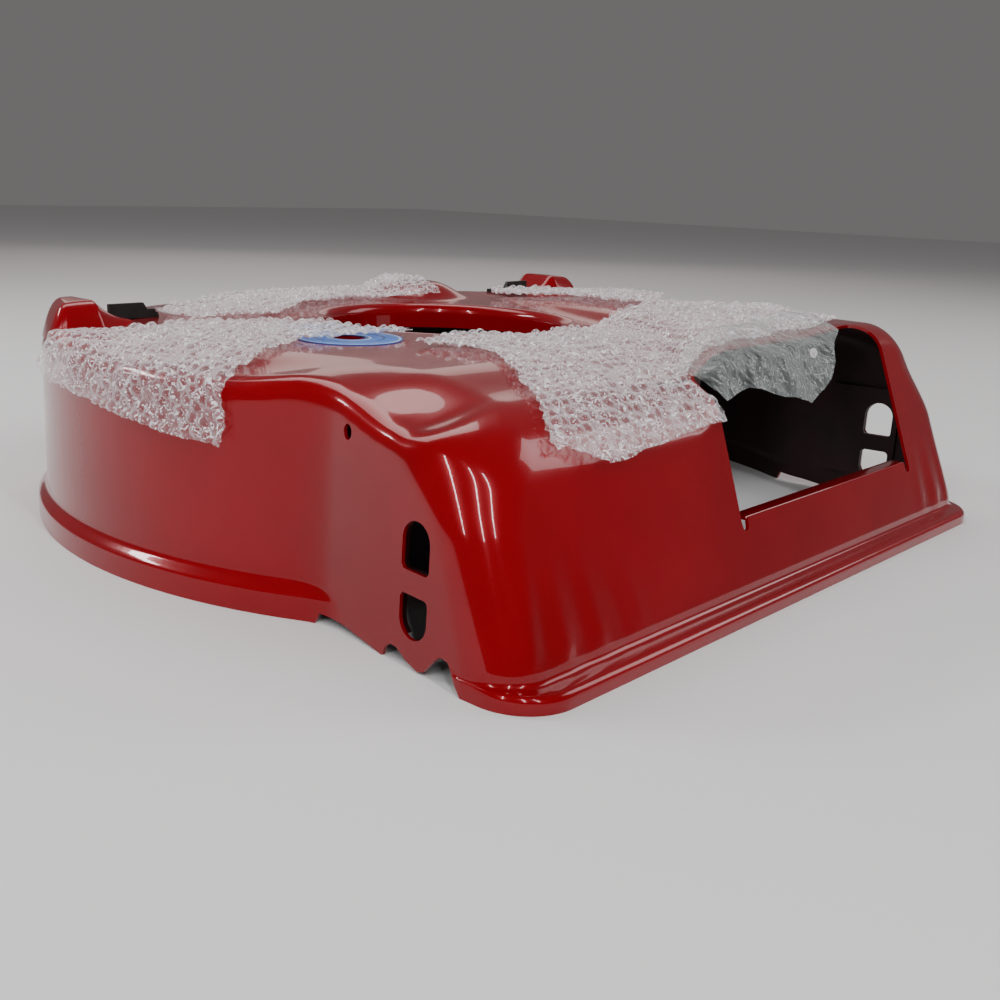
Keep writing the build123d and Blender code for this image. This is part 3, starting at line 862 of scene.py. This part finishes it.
def film_flap():
    """Loose clear film over the top of the rear opening."""
    xs = np.arange(-66.0, 132.0, STEP)
    start = np.column_stack([xs, np.full(len(xs), 112.0)])
    grid = walk(start, (0.0, -1.0), 140, 4.5)
    plan = [(-58, 70), (-20, 86), (60, 90), (124, 98), (122, 0), (-60, 0)]
    hem_x, hem_z = (-66, -46, -38, -15, 49, 80, 99, 132), (128, 116, 111, 114, 100, 111, 124, 138)
    outline = hanging(plan, hem_x, hem_z)

    def lifted(p):
        return np.zeros(p.shape[:-1])

    build_sheet("film_over_opening", "film_flap", "clear_film", grid, outline, 5, film_relief, lifted)


FRONT_PLAN = [(-196, 372), (-150, 424), (-104, 450), (-30, 486), (41, 505), (76, 500), (92, 474),
              (88, 424), (86, 386), (60, 392), (0, 404), (-56, 392), (-110, 352), (-168, 356)]
TUNNEL_PLAN = [(122, 224), (146, 214), (206, 250), (226, 318), (212, 372), (160, 392), (134, 372),
               (128, 300)]

build_deck()
build_lug("front_lug_left", -1.0)
build_lug("front_lug_right", 1.0)
left_wrap()
rear_wrap()
flat_wrap("wrap_front", "bubble_wrap_front", (-200.0, 152.0, 350.0, 508.0), FRONT_PLAN, 37)
flat_wrap("wrap_tunnel", "bubble_wrap_tunnel", (118.0, 230.0, 210.0, 396.0), TUNNEL_PLAN, 41)
film_flap()


# Stage

def build_floor():
    """Plain pale floor under the foot of the deck."""
    mesh = bpy.data.meshes.new("floor")
    half = 6.0
    corners = [(-half, -half, FOOT), (half, -half, FOOT), (half, half, FOOT), (-half, half, FOOT)]
    mesh.from_pydata(corners, [], [(0, 1, 2, 3)])
    material, _, shader, _ = principled("floor")
    shader.inputs["Base Color"].default_value = (0.80, 0.80, 0.80, 1.0)
    shader.inputs["Roughness"].default_value = 0.9
    mesh.materials.append(material)
    floor = bpy.data.objects.new("floor", mesh)
    bpy.context.collection.objects.link(floor)


def area_light(name, place, target, size, power, colour=(1.0, 1.0, 1.0)):
    """Soft rectangular light that faces its target."""
    data = bpy.data.lights.new(name, "AREA")
    data.shape = "RECTANGLE"
    data.size, data.size_y = size
    data.energy = power
    data.color = colour
    lamp = bpy.data.objects.new(name, data)
    lamp.location = place
    lamp.visible_camera = False
    lamp.rotation_euler = (Vector(target) - Vector(place)).to_track_quat("-Z", "Y").to_euler()
    bpy.context.collection.objects.link(lamp)


def build_lights():
    """Long tubes at the near side, soft panels above and around, and a faint even world."""
    area_light("ceiling", (0.3, 0.9, 1.8), (0.0, 0.1, 0.0), (1.6, 0.7), 14.0, (1.0, 0.95, 0.92))
    area_light("tube_a", (-1.15, -1.35, 1.15), (-0.1, -0.1, -0.05), (0.045, 1.3), 13.0)
    area_light("tube_b", (-0.55, -1.75, 1.35), (0.0, -0.15, -0.05), (0.045, 1.3), 13.0)
    area_light("tube_c", (-1.75, -0.55, 1.0), (-0.2, 0.0, -0.05), (0.045, 1.2), 11.0)
    area_light("right_fill", (1.6, -1.0, 1.2), (0.1, -0.2, -0.05), (0.8, 1.2), 11.0)
    area_light("left_front", (-0.8, 1.15, 0.95), (-0.25, 0.0, -0.1), (0.6, 0.12), 9.0)
    area_light("far_panel", (1.7, 1.9, 0.75), (0.0, 0.0, -0.05), (2.2, 0.5), 3.2, (1.0, 0.80, 0.74))
    world = bpy.data.worlds.new("studio")
    bpy.context.scene.world = world
    world.use_nodes = True
    background = world.node_tree.nodes["Background"]
    background.inputs["Color"].default_value = (0.60, 0.57, 0.57, 1.0)
    background.inputs["Strength"].default_value = 0.26


def build_camera():
    """Low view from the rear left, along the deck's diagonal."""
    yaw, pitch, roll = (math.radians(a) for a in (45.65, 16.27, -1.96))
    forward = Vector((math.sin(yaw) * math.cos(pitch), math.cos(yaw) * math.cos(pitch), -math.sin(pitch)))
    level = Vector((math.cos(yaw), -math.sin(yaw), 0.0))
    down = forward.cross(level)
    right = math.cos(roll) * level + math.sin(roll) * down
    down = -math.sin(roll) * level + math.cos(roll) * down
    data = bpy.data.cameras.new("camera")
    data.lens = 41.5
    data.shift_x, data.shift_y = 0.0844, 0.0158
    data.clip_start = 0.02
    camera = bpy.data.objects.new("camera", data)
    turn = Matrix((right, -down, -forward)).transposed()
    camera.matrix_world = Matrix.Translation(in_frame([(-608.3, -273.8, 222.4)])[0]) @ turn.to_4x4()
    bpy.context.collection.objects.link(camera)
    bpy.context.scene.camera = camera


build_floor()
build_lights()
build_camera()
